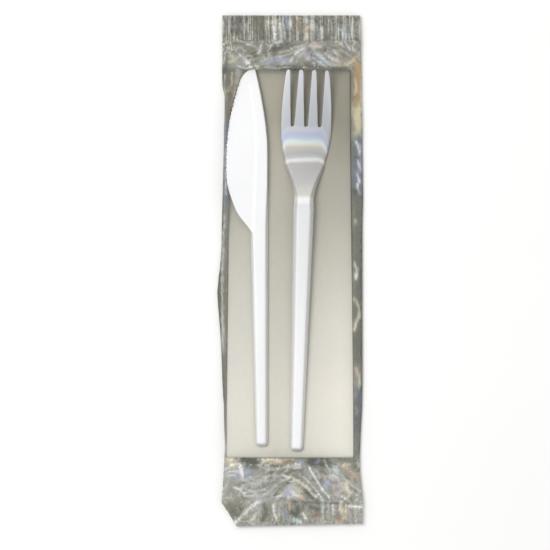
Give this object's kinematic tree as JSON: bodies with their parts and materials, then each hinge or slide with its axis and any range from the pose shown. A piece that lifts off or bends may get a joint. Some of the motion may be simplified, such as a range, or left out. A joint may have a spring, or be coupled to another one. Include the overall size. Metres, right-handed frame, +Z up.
{
  "type": "cutlery meal pack",
  "caption": "Sealed clear film sachet holding a white plastic knife and fork laid side by side on a folded paper napkin.",
  "frame": {"origin": "under the middle of the pack, on the surface that it lies on", "axes": "+X across the pack, towards the fork; +Y along it, towards the fork's tines; +Z up, out of the front panel"},
  "size_m": [0.063, 0.2196, 0.0109],
  "materials": {
    "film": "clear crinkled film, glossy, with crimped ends",
    "tissue": "soft off-white tissue, matt",
    "knife_plastic": "white moulded plastic, softly glossy",
    "fork_plastic": "white moulded plastic, glossy"
  },
  "bodies": {
    "root": {"film_wrapper": "film", "napkin": "tissue", "knife": "knife_plastic", "fork": "fork_plastic"}
  },
  "joints": []
}
